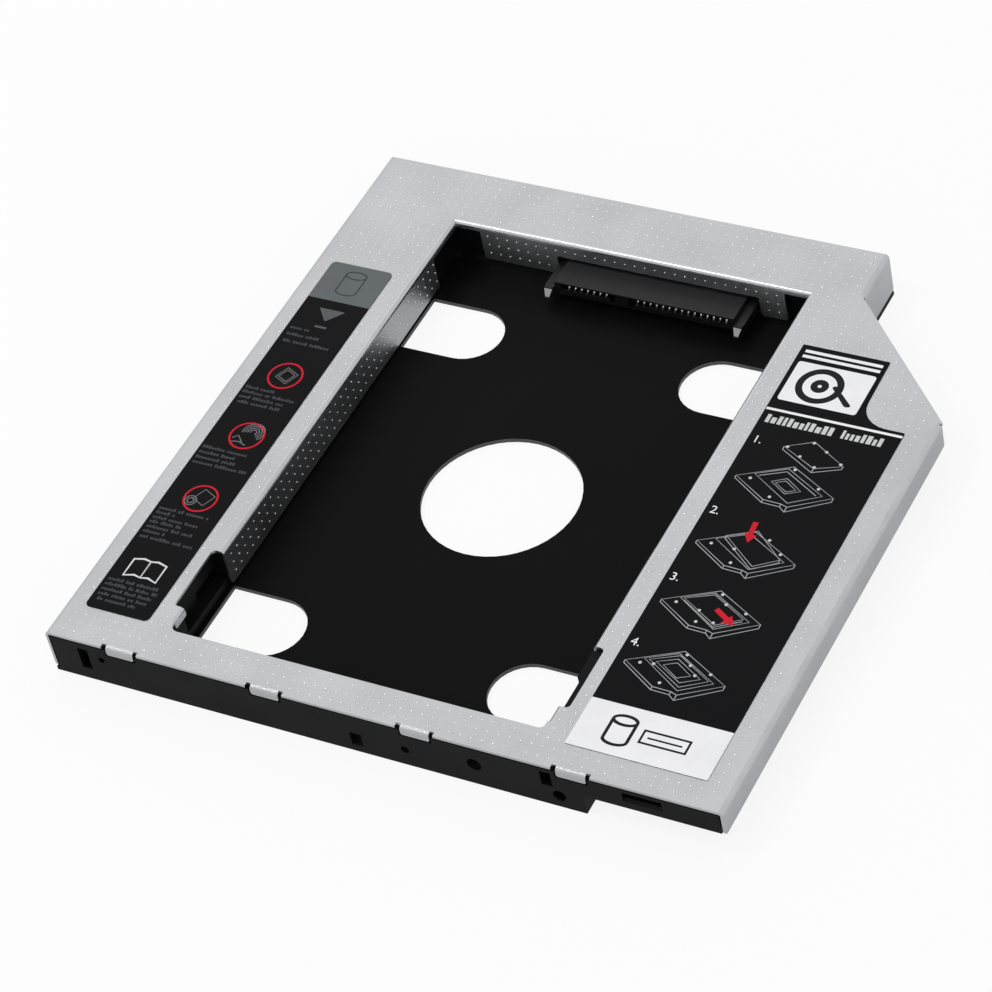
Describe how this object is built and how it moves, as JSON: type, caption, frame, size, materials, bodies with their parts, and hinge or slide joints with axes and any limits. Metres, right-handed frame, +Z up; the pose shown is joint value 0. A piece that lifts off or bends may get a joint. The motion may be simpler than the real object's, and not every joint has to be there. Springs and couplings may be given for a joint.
{
  "type": "laptop drive caddy",
  "caption": "Slim caddy that holds a laptop drive in an optical bay: aluminium cover with a drive well, black frame, slotted floor plate and connectors at the back.",
  "frame": {"origin": "middle of the footprint, on the underside that lies in the laptop's bay", "axes": "+Z up out of the drive well, +Y towards the connectors at the rear, +X towards the cut-away wing"},
  "size_m": [0.128, 0.1288, 0.0095],
  "materials": {
    "cover": "embossed sheet, satin",
    "frame": "fine moulded texture",
    "plate": "black satin paint",
    "screw": "black zinc",
    "board": "green solder mask",
    "chip": "moulded epoxy",
    "connector": "moulded",
    "contact": "gold plated"
  },
  "bodies": {
    "root": {"top_cover": "cover", "frame": "frame", "bottom_plate": "plate", "plate_screw_1": "screw", "plate_screw_2": "screw", "plate_screw_3": "screw", "plate_screw_4": "screw", "plate_screw_5": "screw", "plate_screw_6": "screw", "board_screw_1": "screw", "board_screw_2": "screw", "circuit_board": "board", "board_chip_1": "chip", "board_chip_2": "chip", "board_chip_3": "chip", "board_chip_4": "chip", "drive_socket": "connector", "host_plug": "connector", "drive_contact_1": "contact", "drive_contact_2": "contact", "drive_contact_3": "contact", "drive_contact_4": "contact", "drive_contact_5": "contact", "drive_contact_6": "contact", "drive_contact_7": "contact", "drive_contact_8": "contact", "drive_contact_9": "contact", "drive_contact_10": "contact", "drive_contact_11": "contact", "drive_contact_12": "contact", "drive_contact_13": "contact", "drive_contact_14": "contact", "drive_contact_15": "contact", "drive_contact_16": "contact", "drive_contact_17": "contact", "drive_contact_18": "contact", "drive_contact_19": "contact", "drive_contact_20": "contact", "drive_contact_21": "contact", "drive_contact_22": "contact", "host_contact_1": "contact", "host_contact_2": "contact", "host_contact_3": "contact", "host_contact_4": "contact", "host_contact_5": "contact", "host_contact_6": "contact", "host_contact_7": "contact", "host_contact_8": "contact", "host_contact_9": "contact", "host_contact_10": "contact", "host_contact_11": "contact", "host_contact_12": "contact", "host_contact_13": "contact"}
  },
  "joints": []
}
